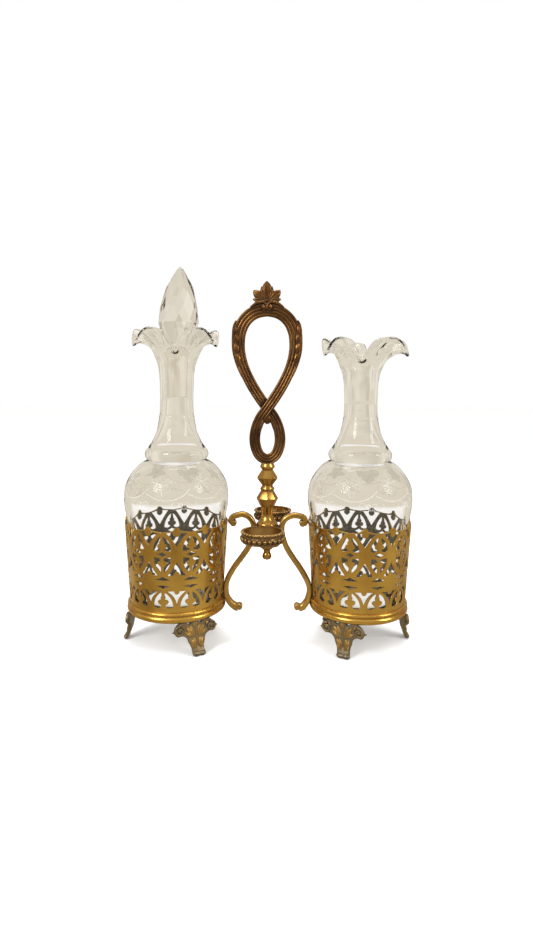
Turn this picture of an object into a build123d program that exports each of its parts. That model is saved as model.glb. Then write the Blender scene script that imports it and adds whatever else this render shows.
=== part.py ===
from build123d import *
import math
import os

# Antique brass cruet stand with two glass bottles and one stopper.
# Frame: millimetres, +Z up, origin on the table midway between the baskets, +X to the right
# of the stand and the front stopper ring towards -Y.

# ---- baskets ----
basket_spacing = 128.2
basket_x = basket_spacing / 2
rim_radius = 35.9
foot_radius = 32.4
wall = 0.9
knob_top_z = 86.6
rim_z = 84.9
rim_dip_z = 83.5
floor_bottom_z = 24.0
floor_thickness = 1.5
floor_top_z = floor_bottom_z + floor_thickness
ring_top_z = 29.5
ring_bottom_z = 22.6
ring_radius = 34.3
ledge_radius = 29.5
floor_opening_radius = 22.0
solder_gap = 0.05

# The pierced pattern repeats eleven times and leaves a plain strip at the seam.
repeats = 11
repeat_angle = 31.48
first_knob_angle = (360 - (repeats - 1) * repeat_angle) / 2
left_seam_angle = 4.35
right_seam_angle = 181.9

# ---- feet ----
foot_plate = 3.0
left_foot_spread = 60.0
right_foot_spread = 62.5

# ---- arms and hub ----
arm_width = 3.4
arm_depth = 5.6
hub_radius = 8.8
hub_bottom_z = 66.4
hub_top_z = 80.0
stem_x = -0.6

# ---- stopper rings ----
ring_row_radius = 33.8
ring_row_turn = 6.1
cup_bore = 12.0
cup_rim_radius = 14.0
cup_skirt_radius = cup_rim_radius - 0.4
cup_top_z = 85.0
cup_height = 7.6
bead_count = 25
bead_radius = 1.55
bead_circle = 13.5
bar_width = 5.0
bar_height = 4.0
bar_top_z = 79.6

# ---- stem ----
rod_radius = 1.6
rod_clearance = 0.05
rod_bottom_z = 58.5
rod_top_z = 128.5
knop_apothem = 7.1
knop_sides = 8
collar_top_z = 124.7

# ---- handle ----
handle_depth = 5.0
handle_lean = 0.55
handle_top_z = 235.8
palmette_depth = 3.6

# ---- bottles and stopper ----
glass_wall = 2.2
body_radius = 36.2
neck_bore_top = 8.0
neck_bore_low = 7.15
bore_top_z = 190.0
bore_bottom_z = 168.0
neck_top_z = 197.0
plug_clearance = 0.05
plug_bottom_z = 170.0
lip_lobe_radius = 30.5
lip_notch_radius = 15.0
lip_top_z = 210.5
# Angles of the three crimps between the lobes of each mouth.
left_crimps = [-86.0, 37.0, 157.0]
right_crimps = [-99.0, 57.0, 160.0]
# The right-hand bottle has the shorter neck.
right_neck_drop = 5.5
stopper_facets = 8


def outline(start, *steps):
    """Closed face; each step is an end point, or a pair (point on an arc, end of the arc)."""
    edges = []
    here = start
    for step in steps:
        if isinstance(step[0], tuple):
            through, end = step
            edges.append(ThreePointArc(here, through, end))
        else:
            end = step
            edges.append(Line(here, end))
        here = end
    if here != start:
        edges.append(Line(here, start))
    return make_face(edges)


def mirrored(steps):
    """The same outline steps with left and right exchanged."""
    result = []
    for step in steps:
        if isinstance(step[0], tuple):
            result.append(tuple((-x, z) for x, z in step))
        else:
            result.append((-step[0], step[1]))
    return result


def turned(profile):
    """Solid of revolution about Z from an outline drawn as radius and height."""
    return revolve(Plane.XZ * profile, Axis.Z)


def tangent_plane(angle, distance):
    """Upright plane facing outwards at an angle round the Z axis."""
    a = math.radians(angle)
    outward = (math.cos(a), math.sin(a), 0)
    sideways = (-math.sin(a), math.cos(a), 0)
    return Plane(origin=Vector(outward) * distance, x_dir=sideways, z_dir=outward)


def wall_radius(z):
    """Outer radius of the gallery wall: a short cylinder in the ring, then a slow flare."""
    rise = max(0.0, z - ring_top_z) / (rim_z - ring_top_z)
    return foot_radius + rise * (rim_radius - foot_radius)


# ---- pierced gallery ----
def gap_openings():
    """Openings centred under each knob, drawn as distance sideways and height."""
    upper = outline(
        (-6.9, 83.0), (-2.0, 83.4), (-2.0, 81.8), ((0, 80.6), (2.0, 81.8)), (2.0, 83.4),
        (6.9, 83.0), ((3.0, 78.9), (0, 74.2)), ((-3.0, 78.9), (-6.9, 83.0)))
    middle = outline(
        (0, 63.5), ((2.4, 59.8), (5.8, 54.6)), (2.3, 54.9), ((0, 56.7), (-2.3, 54.9)),
        (-5.8, 54.6), ((-2.4, 59.8), (0, 63.5)))
    lower = outline(
        (-6.3, 43.9), (-1.9, 44.2), (-1.7, 43.0), ((0, 42.2), (1.7, 43.0)), (1.9, 44.2),
        (6.3, 43.9), ((2.6, 40.9), (0, 35.7)), ((-2.6, 40.9), (-6.3, 43.9)))
    return [upper, middle, lower]


def arch_openings(side):
    """One half of the three arches, on the +1 or -1 side of the line between two knobs."""
    halves = [
        [(1.0, 80.9), ((4.4, 77.0), (5.9, 71.8)), (3.3, 71.1), (1.5, 71.8), (1.3, 72.7),
         (2.9, 74.3), (1.6, 75.6), (0.9, 78.0)],
        [(1.0, 66.0), (5.5, 66.9), ((4.4, 62.2), (1.0, 57.1)), (0.9, 60.5), (2.8, 62.9),
         (1.5, 64.0)],
        [(1.2, 43.2), ((5.1, 38.9), (6.4, 33.1)), (2.2, 33.3), (1.1, 34.9), (3.4, 36.5),
         (1.2, 38.6)],
    ]
    if side < 0:
        halves = [mirrored(half) for half in halves]
    return [outline(*half) for half in halves]


def band_openings():
    """Diamond and two slits on the line between two knobs."""
    diamond = outline(
        (-3.7, 68.8), (-1.2, 69.5), (0, 70.6), (1.2, 69.5),
        (3.7, 68.8), (1.2, 68.1), (0, 67.0), (-1.2, 68.1))
    upper_slit = outline((-4.9, 51.6), ((0, 51.3), (4.9, 51.6)), (0, 53.6))
    lower_slit = outline((-4.9, 47.5), (0, 45.8), (4.9, 47.5), ((0, 47.9), (-4.9, 47.5)))
    return [diamond, upper_slit, lower_slit]


def scallop():
    """What is cut from the rim between two knobs."""
    reach = 7.3
    above = knob_top_z + 2
    return outline(
        (-reach, rim_z), ((0, rim_dip_z), (reach, rim_z)), (reach + 0.7, knob_top_z - 0.4),
        (reach + 1.2, knob_top_z), (reach + 1.2, above), (-reach - 1.2, above),
        (-reach - 1.2, knob_top_z), (-reach - 0.7, knob_top_z - 0.4))


def gallery_cutters():
    """Prisms for every opening, with the seam of the wall at angle zero."""
    inside = foot_radius - 4
    reach = rim_radius - inside + 4
    cutters = []

    def cut_at(angle, faces):
        plane = tangent_plane(angle, inside)
        for face in faces:
            cutters.append(extrude(plane * face, amount=reach))

    for k in range(repeats):
        knob_angle = first_knob_angle + k * repeat_angle
        cut_at(knob_angle, gap_openings())
        cut_at(knob_angle - repeat_angle / 2, arch_openings(1) + [scallop()])
        cut_at(knob_angle + repeat_angle / 2, arch_openings(-1))
        if k:
            cut_at(knob_angle - repeat_angle / 2, band_openings())
    cut_at(-first_knob_angle + repeat_angle / 2, [scallop()])
    return cutters


def gallery_wall():
    """Whole wall with its seam at angle zero, standing on the ledge of the base ring."""
    profile = make_face(Polyline(
        (foot_radius - wall, floor_bottom_z),
        (foot_radius, floor_bottom_z),
        (foot_radius, ring_top_z),
        (wall_radius(knob_top_z), knob_top_z),
        (wall_radius(knob_top_z) - wall, knob_top_z),
        (foot_radius - wall, ring_top_z),
        close=True))
    return turned(profile) - gallery_cutters()


def base_ring():
    """Moulded ring: two beads outside, a ledge inside for the wall and the floor."""
    outside = foot_radius + solder_gap
    profile = outline(
        (ledge_radius, ring_bottom_z), (ring_radius - 1.2, ring_bottom_z),
        ((ring_radius, 24.9), (ring_radius - 0.9, 26.7)),
        (ring_radius - 0.9, 27.1),
        ((ring_radius - 0.3, 28.2), (ring_radius - 1.1, ring_top_z)),
        (outside, ring_top_z), (outside, floor_bottom_z), (ledge_radius, floor_bottom_z))
    return turned(profile)


def floor_ring():
    """Flat ring that carries the bottle and leaves the middle of the basket open."""
    radius = foot_radius - wall - solder_gap
    return turned(make_face(Polyline(
        (floor_opening_radius, floor_bottom_z), (radius, floor_bottom_z),
        (radius, floor_top_z), (floor_opening_radius, floor_top_z), close=True)))


# ---- feet ----
def foot():
    """Cast acanthus foot for angle zero: leaf outline crossed with a slanting side profile."""
    half_leaf = [
        (11.0, ring_bottom_z), ((14.2, 20.4), (13.4, 16.4)), ((9.6, 14.8), (7.0, 11.0)),
        ((5.4, 7.2), (4.8, 4.0)), ((5.4, 1.8), (4.6, 0)), (0, 0)]
    right = outline((0, ring_bottom_z), *half_leaf)
    left = outline((0, ring_bottom_z), *mirrored(half_leaf))
    leaf = extrude(tangent_plane(0, 26) * (right + left), amount=14)
    spine = Spline((31.0, ring_bottom_z + 1), (31.5, 14.0), (32.6, 7.0), (34.4, 2.4))
    side = trace(spine, foot_plate) + Pos(34.9, 1.7) * Circle(1.9)
    above = Pos(32, ring_bottom_z + 5) * Rectangle(20, 10)
    below = Pos(32, -5) * Rectangle(20, 10)
    plate = extrude(Plane.XZ * (side - above - below), amount=16, both=True)
    return leaf & plate


# ---- arms, hub and stopper rings ----
def arm_blank():
    """Right-hand S-scroll strap with a bulb at each end."""
    upper = Spline((24.6, 81.6), (26.2, 84.2), (23.6, 86.3), (17.6, 87.4), (11.9, 84.6),
                   (10.0, 78.0), (11.6, 68.3), (18.5, 56.3), (27.2, 43.3), (29.9, 33.5),
                   (27.2, 24.6), (21.6, 21.4))
    strap = trace(upper, arm_width)
    strap += Pos(24.3, 81.8) * Circle(2.4)
    strap += Pos(21.0, 22.3) * Circle(2.3)
    return extrude(Plane.XZ * strap, amount=arm_depth / 2, both=True)


def basket_envelope(side):
    """Outside of one basket as a full solid, for fitting neighbours against it."""
    height = knob_top_z - ring_top_z
    standing = (Align.CENTER, Align.CENTER, Align.MIN)
    wall_cone = Pos(0, 0, ring_top_z) * Cone(
        foot_radius, wall_radius(knob_top_z), height, align=standing)
    ring_hoop = Pos(0, 0, ring_bottom_z) * Cylinder(
        ring_radius, ring_top_z - ring_bottom_z, align=standing)
    return Pos(side * basket_x, 0, 0) * (wall_cone + ring_hoop)


def arm(side):
    blank = arm_blank()
    if side < 0:
        blank = mirror(blank, Plane.YZ)
    return blank - basket_envelope(side)


def crossbar():
    """Flat bar between the two stopper rings."""
    reach = ring_row_radius - cup_rim_radius + 1.0
    bar = Pos(0, 0, bar_top_z - bar_height / 2) * Box(bar_width, 2 * reach, bar_height)
    return Rot(0, 0, -ring_row_turn) * (bar - cup_pair_envelope()) - rod_hole()


def cup_pair_envelope():
    """Full discs where the stopper rings are, before the row is turned."""
    disc = Pos(0, 0, cup_top_z - cup_height / 2) * Cylinder(cup_skirt_radius, cup_height)
    return Pos(0, ring_row_radius, 0) * disc + Pos(0, -ring_row_radius, 0) * disc


def stopper_ring():
    """Open beaded ring about Z that takes the plug of a stopper."""
    bottom = cup_top_z - cup_height
    hoop = turned(outline(
        (cup_bore, bottom), (cup_skirt_radius - 1.2, bottom), (cup_skirt_radius, bottom + 1.3),
        (cup_skirt_radius, cup_top_z - 1.9),
        ((cup_rim_radius, cup_top_z - 0.8), (cup_rim_radius - 0.8, cup_top_z)),
        (cup_bore, cup_top_z)))
    beads = [
        Rot(0, 0, k * 360 / bead_count) * Pos(bead_circle, 0, bottom + 2.7) * Sphere(bead_radius)
        for k in range(bead_count)]
    bore = Pos(0, 0, cup_top_z - cup_height / 2) * Cylinder(cup_bore, 2 * cup_height)
    return hoop + beads - bore


def placed_ring(side):
    """Front ring for -1, back ring for +1."""
    a = math.radians(ring_row_turn)
    x = side * ring_row_radius * math.sin(a)
    y = side * ring_row_radius * math.cos(a)
    return Pos(x, y, 0) * stopper_ring()


def rod_hole():
    radius = rod_radius + rod_clearance
    middle = (rod_bottom_z + rod_top_z) / 2
    return Pos(stem_x, 0, middle) * Cylinder(radius, rod_top_z - rod_bottom_z)


def hub(neighbours):
    body = Pos(stem_x, 0, hub_bottom_z) * Cylinder(
        hub_radius, hub_top_z - hub_bottom_z, align=(Align.CENTER, Align.CENTER, Align.MIN))
    return body - neighbours - rod_hole()


# ---- stem ----
def on_stem(shape):
    return Pos(stem_x, 0, 0) * shape - rod_hole()


def faceted(sections, turn):
    """Ruled stack of regular polygons given as (apothem, height)."""
    body = None
    for (r0, z0), (r1, z1) in zip(sections, sections[1:]):
        step = Solid.make_loft([knop_wire(r0, z0, turn), knop_wire(r1, z1, turn)], ruled=True)
        body = step if body is None else body + step
    return body


def knop_wire(apothem, z, turn):
    polygon = RegularPolygon(apothem, knop_sides, major_radius=False, rotation=turn)
    return (Pos(0, 0, z) * polygon).wire()


def stem_socket():
    return on_stem(turned(outline(
        (0, hub_top_z), (7.5, hub_top_z), (7.5, 82.2), ((4.6, 85.4), (3.9, 90.0)),
        (4.4, 94.0), (0, 94.0))))


def lower_knop():
    return on_stem(faceted([(4.5, 94.0), (knop_apothem, 99.6), (4.2, 105.0)], 0))


def ring_knop():
    return on_stem(turned(outline(
        (0, 105.0), (4.5, 105.0), (5.1, 106.3), (3.6, 108.8), (0, 108.8))))


def upper_knop():
    half_facet = 180 / knop_sides
    return on_stem(faceted([(3.6, 108.8), (knop_apothem, 114.1), (3.7, 119.7)], half_facet))


def top_collar():
    return on_stem(turned(outline(
        (0, 119.7), (3.8, 119.7), (5.2, 121.9), (4.2, collar_top_z), (0, collar_top_z))))


def tie_rod():
    middle = (rod_bottom_z + rod_top_z) / 2
    return Pos(stem_x, 0, middle) * Cylinder(rod_radius, rod_top_z - rod_bottom_z)


def drop_finial_nut():
    return on_stem(turned(outline(
        (0, 55.8), ((2.6, 56.6), (3.3, 58.6)), ((2.6, 60.6), (2.3, 61.6)), (2.4, 63.0),
        (4.4, 64.2), (4.4, hub_bottom_z), (0, hub_bottom_z))))


# ---- handle ----
def handle_loop():
    """Flat figure-eight strap with two eyes, volutes at the top and leaf swellings."""
    half_outer = Spline((0, collar_top_z), (8.4, 127.1), (12.5, 139.0), (8.8, 155.6), (4.9, 162.6),
                        (9.1, 169.3), (18.4, 185.8), (24.2, 202.0), (23.6, 213.0),
                        (18.2, 226.0), (9.0, 233.6))
    across = Line((9.0, 233.6), (5.0, handle_top_z))
    top = Line((5.0, handle_top_z), (0, handle_top_z))
    axis_line = Line((0, handle_top_z), (0, collar_top_z))
    half = make_face([half_outer, across, top, axis_line])
    big_eye = Spline((0, 226.6), (9.0, 222.4), (15.3, 206.0), (10.1, 185.8), (0, 168.4))
    big_half = make_face([big_eye, Line((0, 168.4), (0, 226.6))])
    small_eye = Spline((0, 152.8), (3.3, 146.6), (5.1, 138.6), (3.6, 132.6), (0, 130.2),
                       tangents=[(1, -1.2), (-1, 0)])
    small_half = make_face([small_eye, Line((0, 130.2), (0, 152.8))])
    half = half - big_half - small_half
    whole = half + mirror(half, Plane.YZ)
    plate = extrude(Plane.XZ * whole, amount=handle_depth / 2, both=True)
    volute = Rot(90, 0, 0) * Cylinder(2.6, handle_depth + 1.6)
    plate += [Pos(side * 2.7, 0, 231.6) * volute for side in (-1, 1)]
    return leaned(plate) - rod_hole()


def leaned(shape):
    """The handle and its palmette lean a little to the left about the top of the collar."""
    tilt = Rot(0, -handle_lean, 0)
    moved = Pos(stem_x, 0, collar_top_z) * tilt * Pos(0, 0, -collar_top_z) * shape
    below = Pos(stem_x, 0, collar_top_z - 10) * Box(40, 40, 20)
    return moved - below


def palmette():
    """Seven-lobed leaf that stands on the top of the loop."""
    half_lobes = [
        (5.0, handle_top_z), (9.6, 236.1), (10.5, 237.6), (9.8, 239.2), (6.8, 240.0),
        (8.9, 241.6), (8.4, 243.8), (6.4, 243.6), (4.9, 242.6), (5.0, 245.4), (3.6, 246.8),
        (2.2, 246.2), (0, 249.8)]
    half = extrude(
        Plane.XZ * outline((0, handle_top_z), *half_lobes), amount=palmette_depth / 2, both=True)
    return leaned(half + mirror(half, Plane.YZ))


# ---- glass ----
def bore_radius(z):
    """Radius of the ground taper in the neck at a height."""
    rise = (z - bore_bottom_z) / (bore_top_z - bore_bottom_z)
    return neck_bore_low + rise * (neck_bore_top - neck_bore_low)


def bottle_body(drop):
    """Turned hollow body and neck, standing on the floor ring; drop shortens the neck."""
    outer = [
        Line((0, floor_top_z), (28.6, floor_top_z)),
        ThreePointArc((28.6, floor_top_z), (30.4, 26.4), (30.9, 28.4)),
        Line((30.9, 28.4), (34.5, 86.0)),
        Spline((34.5, 86.0), (body_radius, 100.0), (33.6, 113.5), (27.3, 122.5), (20.8, 127.0)),
        ThreePointArc((20.8, 127.0), (22.1, 131.0), (20.0, 135.0)),
        Spline((20.0, 135.0), (16.9, 139.5), (13.5, 148.0), (11.5, 160.0), (11.3, 172.0),
               (12.0, 188.0 - drop), (14.6, neck_top_z - drop)),
    ]
    inner = [
        Line((14.6, neck_top_z - drop), (12.4, neck_top_z - drop)),
        Spline((12.4, neck_top_z - drop), (neck_bore_top, bore_top_z - drop),
               tangents=[(-0.4, -1), (0, -1)]),
        Line((neck_bore_top, bore_top_z - drop), (neck_bore_low, bore_bottom_z)),
        Spline((neck_bore_low, bore_bottom_z), (9.6, 150.0), (17.0, 134.0), (24.0, 121.4),
               (31.4, 111.6), (body_radius - glass_wall - 0.4, 100.0), (32.2, 86.0)),
        Line((32.2, 86.0), (28.6, 33.0)),
        ThreePointArc((28.6, 33.0), (27.8, 31.0), (25.6, 30.2)),
        Line((25.6, 30.2), (0, 30.2)),
        Line((0, 30.2), (0, floor_top_z)),
    ]
    return turned(make_face(outer + inner))


def lobe_share(angle, crimps):
    """0 at a crimp of the mouth and 1 in the middle of the lobe between two crimps."""
    for start, end in zip(crimps, crimps[1:] + [crimps[0] + 360]):
        turn = (angle - start) % 360
        if turn < end - start:
            return (1 - math.cos(2 * math.pi * turn / (end - start))) / 2
    return 0.0


def lip_wire(crimp_radius, lobe_radius, z, crimps):
    """Closed three-lobed curve."""
    points = []
    for angle in range(0, 360, 10):
        r = crimp_radius + (lobe_radius - crimp_radius) * lobe_share(angle, crimps)
        a = math.radians(angle)
        points.append((r * math.cos(a), r * math.sin(a), z))
    return Wire([Spline(*points, periodic=True)])


def bottle_lip(crimps):
    """Crimped mouth that opens from the round neck into three spread lobes."""
    outside = [(14.2, 14.2, neck_top_z - 0.8), (15.0, 19.0, 202.0),
               (lip_notch_radius, lip_lobe_radius, lip_top_z)]
    inside = [(12.8, 12.8, neck_top_z - 0.8), (13.0, 16.8, 202.2),
              (lip_notch_radius - 2.0, lip_lobe_radius - 2.0, lip_top_z)]
    shell, hollow = (
        Solid.make_loft([lip_wire(low, high, z, crimps) for low, high, z in levels])
        for levels in (outside, inside))
    return shell - hollow


def bottle(side, crimps, drop):
    whole = bottle_body(drop) + Pos(0, 0, -drop) * bottle_lip(crimps)
    return Pos(side * basket_x, 0, 0) * whole


def stopper():
    """Faceted spire on a ground plug."""
    plug = turned(outline(
        (0, plug_bottom_z), (bore_radius(plug_bottom_z) - plug_clearance, plug_bottom_z),
        (neck_bore_top - plug_clearance, 189.8),
        (neck_bore_top - plug_clearance, 196.6), (9.3, 198.6), (9.3, 201.0), (5.6, 205.0),
        (0, 205.0)))
    cut_levels = [
        (5.2, 204.6), (8.4, 209.5), (13.2, 222.5), (12.6, 234.5), (9.2, 246.0), (4.4, 254.0)]
    spire = None
    for (r0, z0), (r1, z1) in zip(cut_levels, cut_levels[1:]):
        lower = (Pos(0, 0, z0) * RegularPolygon(r0, stopper_facets)).wire()
        upper = (Pos(0, 0, z1) * RegularPolygon(r1, stopper_facets)).wire()
        step = Solid.make_loft([lower, upper], ruled=True)
        spire = step if spire is None else spire + step
    tip_wire = (Pos(0, 0, 254.0) * RegularPolygon(4.4, stopper_facets)).wire()
    spire += Solid.make_loft([tip_wire, Vertex(0, 0, 259.0)], ruled=True)
    return Pos(-basket_x, 0, 0) * (plug + spire)


def build_parts():
    wall_at_zero = gallery_wall()
    ring = base_ring()
    floor = floor_ring()
    leg = foot()
    parts = {}
    sides = (
        ("left", -1, left_seam_angle, left_foot_spread),
        ("right", 1, right_seam_angle, right_foot_spread))
    for name, side, seam, foot_spread in sides:
        centre = Pos(side * basket_x, 0, 0)
        parts[f"{name}_gallery"] = centre * Rot(0, 0, seam) * wall_at_zero
        parts[f"{name}_base_ring"] = centre * ring
        parts[f"{name}_floor"] = centre * floor
        outward = 0 if side > 0 else 180
        front = -90 - side * (90 - foot_spread)
        foot_angles = {"outer": outward, "front": front, "back": -front}
        for place, angle in foot_angles.items():
            parts[f"{name}_{place}_foot"] = centre * Rot(0, 0, angle) * leg
        parts[f"{name}_arm"] = arm(side)
    bar = crossbar()
    parts["ring_crossbar"] = bar
    parts["hub_block"] = hub(parts["left_arm"] + parts["right_arm"] + bar)
    parts["front_stopper_ring"] = placed_ring(-1) - bar
    parts["back_stopper_ring"] = placed_ring(1) - bar
    parts["stem_socket"] = stem_socket()
    parts["lower_knop"] = lower_knop()
    parts["ring_knop"] = ring_knop()
    parts["upper_knop"] = upper_knop()
    parts["top_collar"] = top_collar()
    parts["tie_rod"] = tie_rod()
    parts["drop_finial_nut"] = drop_finial_nut()
    parts["handle_loop"] = handle_loop()
    parts["palmette_finial"] = palmette()
    parts["left_bottle"] = bottle(-1, left_crimps, 0)
    parts["right_bottle"] = bottle(1, right_crimps, right_neck_drop)
    parts["left_stopper"] = stopper()
    return parts


os.makedirs("parts", exist_ok=True)
for node, shape in build_parts().items():
    export_step(shape, f"parts/{node}.step")
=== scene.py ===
import math

import bmesh
import bpy
import numpy as np
from mathutils import Matrix, Vector


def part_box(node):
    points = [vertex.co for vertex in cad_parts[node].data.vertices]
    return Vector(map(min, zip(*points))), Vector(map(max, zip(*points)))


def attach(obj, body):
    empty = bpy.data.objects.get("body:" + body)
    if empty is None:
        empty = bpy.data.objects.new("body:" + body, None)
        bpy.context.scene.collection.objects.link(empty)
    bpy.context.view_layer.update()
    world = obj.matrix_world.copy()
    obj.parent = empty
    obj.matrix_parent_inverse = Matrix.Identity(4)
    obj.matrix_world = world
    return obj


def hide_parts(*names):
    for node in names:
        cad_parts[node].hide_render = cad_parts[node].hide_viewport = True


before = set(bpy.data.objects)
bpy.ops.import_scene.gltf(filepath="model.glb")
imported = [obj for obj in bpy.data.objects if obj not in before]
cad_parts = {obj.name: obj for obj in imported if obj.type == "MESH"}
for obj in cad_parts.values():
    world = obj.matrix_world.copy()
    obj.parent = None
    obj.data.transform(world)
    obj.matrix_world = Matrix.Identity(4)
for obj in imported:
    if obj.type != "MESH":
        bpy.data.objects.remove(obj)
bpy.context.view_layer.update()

MM = 0.001          # lengths below are in mm unless a name or comment says otherwise


# ---- places taken from the frame ----
def centre_of(node):
    """Middle of a CAD node's box, in mm."""
    low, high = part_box(node)
    return (low + high) / 2 / MM


def top_of(node):
    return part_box(node)[1].z / MM


def bottom_of(node):
    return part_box(node)[0].z / MM


def radius_of(node):
    low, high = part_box(node)
    return (high.x - low.x) / MM / 2


def repaint(node, material):
    """Gives a CAD node its material; its shape and place stay as they are."""
    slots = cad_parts[node].data.materials
    slots.clear()
    slots.append(material)


STEM_X = centre_of("tie_rod").x
LEFT = centre_of("left_floor")
RIGHT = centre_of("right_floor")
RING_BOTTOM = bottom_of("left_base_ring")
RING_TOP = top_of("left_base_ring")
FLOOR_TOP = top_of("left_floor")
COLLAR_TOP = top_of("top_collar")
HUB_TOP = top_of("hub_block")
HUB_BOTTOM = bottom_of("hub_block")
WALL = 0.9                    # thickness of a gallery wall
WALL_FOOT_RADIUS = 32.4
WALL_RIM_RADIUS = 35.9
RIM_Z = 84.9
ROD_BORE = 1.66               # radius of the hole that the tie rod passes through
LEAN = math.radians(0.55)     # the handle leans a little to the left


# ---- points on curves ----
def circle_arc(a, via, b, count=8):
    """Points after a, up to and with b, on the circle through a, via and b."""
    (ax, ay), (vx, vy), (bx, by) = a, via, b
    d = 2 * (ax * (vy - by) + vx * (by - ay) + bx * (ay - vy))
    if abs(d) < 1e-9:
        return [b]
    a2, v2, b2 = ax * ax + ay * ay, vx * vx + vy * vy, bx * bx + by * by
    cx = (a2 * (vy - by) + v2 * (by - ay) + b2 * (ay - vy)) / d
    cy = (a2 * (bx - vx) + v2 * (ax - bx) + b2 * (vx - ax)) / d
    radius = math.hypot(ax - cx, ay - cy)
    start = math.atan2(ay - cy, ax - cx)
    turn_via = (math.atan2(vy - cy, vx - cx) - start) % math.tau
    turn = (math.atan2(by - cy, bx - cx) - start) % math.tau
    if turn_via > turn:
        turn -= math.tau
    angles = [start + turn * k / count for k in range(1, count + 1)]
    return [(cx + radius * math.cos(t), cy + radius * math.sin(t)) for t in angles]


def outline(start, *steps):
    """Closed outline; a step is an end point, or a pair (point on an arc, end of the arc)."""
    points = [start]
    for step in steps:
        if isinstance(step[0], tuple):
            points += circle_arc(points[-1], step[0], step[1])
        else:
            points.append(step)
    if math.dist(points[0], points[-1]) < 1e-6:
        points.pop()
    return points


def smooth_curve(points, count):
    """Evenly spaced points on a Catmull-Rom curve through the given points."""
    p = np.array(points, float)
    p = np.vstack([2 * p[0] - p[1], p, 2 * p[-1] - p[-2]])
    fine = []
    for k in range(1, len(p) - 2):
        t = np.linspace(0, 1, 24, endpoint=False)[:, None]
        a, b, c, d = p[k - 1], p[k], p[k + 1], p[k + 2]
        fine.append(0.5 * (2 * b + (c - a) * t + (2 * a - 5 * b + 4 * c - d) * t ** 2
                           + (3 * b - a - 3 * c + d) * t ** 3))
    fine = np.vstack(fine + [p[-2:-1]])
    along = np.concatenate([[0], np.cumsum(np.linalg.norm(np.diff(fine, axis=0), axis=1))])
    wanted = np.linspace(0, along[-1], count)
    return np.column_stack([np.interp(wanted, along, fine[:, k]) for k in range(fine.shape[1])])


def circle_points(radius, z, count, centre=(0, 0), start=0.0):
    angles = [math.tau * k / count + start for k in range(count)]
    return [(centre[0] + radius * math.cos(a), centre[1] + radius * math.sin(a), z)
            for a in angles]


# ---- mesh building ----
def grid_faces(rows, columns, close_rows=False, close_columns=False, first=0):
    """Quads over a grid of points stored row by row."""
    faces = []
    for r in range(rows if close_rows else rows - 1):
        for c in range(columns if close_columns else columns - 1):
            r2, c2 = (r + 1) % rows, (c + 1) % columns
            faces.append((first + r * columns + c, first + r * columns + c2,
                          first + r2 * columns + c2, first + r2 * columns + c))
    return faces


class Shape:
    """Points in mm and faces, gathered from several sub-shapes."""

    def __init__(self, points=(), faces=()):
        self.points = [tuple(p) for p in points]
        self.faces = [tuple(face) for face in faces]

    def add(self, points, faces):
        first = len(self.points)
        self.points += [tuple(p) for p in points]
        self.faces += [tuple(first + i for i in face) for face in faces]

    def add_shape(self, other, place=None):
        points = other.points
        if place is not None:
            points = [tuple(place @ Vector(p)) for p in points]
        self.add(points, other.faces)


def placed(pattern, place):
    """Copy of a shape, moved by a matrix."""
    shape = Shape()
    shape.add_shape(pattern, place)
    return shape


def make_piece(name, shape, body, material, sharp=35, bevel=0.0, nodes=()):
    """Mesh object in the row frame that rides on a CAD body and stands for CAD nodes."""
    mesh = bpy.data.meshes.new(name)
    points = [(x * MM, y * MM, z * MM) for x, y, z in shape.points]
    mesh.from_pydata(points, [], shape.faces)
    work = bmesh.new()
    work.from_mesh(mesh)
    bmesh.ops.remove_doubles(work, verts=work.verts, dist=1e-3 * MM)
    bmesh.ops.recalc_face_normals(work, faces=work.faces)
    if bevel:
        edges = [e for e in work.edges
                 if e.is_manifold and e.calc_face_angle() > math.radians(sharp / 2)]
        bmesh.ops.bevel(work, geom=edges, offset=bevel * MM, segments=2, profile=0.6,
                        affect="EDGES", clamp_overlap=True)
    work.to_mesh(mesh)
    work.free()
    mesh.polygons.foreach_set("use_smooth", [True] * len(mesh.polygons))
    mesh.set_sharp_from_angle(angle=math.radians(sharp))
    mesh.materials.append(material)
    piece = bpy.data.objects.new(name, mesh)
    bpy.context.scene.collection.objects.link(piece)
    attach(piece, body)
    if nodes:
        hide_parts(*nodes)
    return piece


def lathe(profile, count=96, centre=(0, 0), closed=True):
    """Turned shape about a vertical axis from (radius, height) points."""
    points = []
    for r, z in profile:
        points += circle_points(r, z, count, centre)
    return Shape(points, grid_faces(len(profile), count, close_rows=closed, close_columns=True))


def ball(centre, radius, squash=(1, 1, 1), columns=14, rows=9):
    points = []
    for r in range(rows):
        polar = math.pi * r / (rows - 1)
        for c in range(columns):
            a = math.tau * c / columns
            points.append((centre[0] + radius * squash[0] * math.sin(polar) * math.cos(a),
                           centre[1] + radius * squash[1] * math.sin(polar) * math.sin(a),
                           centre[2] + radius * squash[2] * math.cos(polar)))
    return Shape(points, grid_faces(rows, columns, close_columns=True))


def bar_faces(rows, columns):
    """Faces of a bar with a closed section and flat ends."""
    return grid_faces(rows, columns, close_columns=True) + [
        tuple(range(columns)), tuple(range((rows - 1) * columns, rows * columns))]


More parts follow.
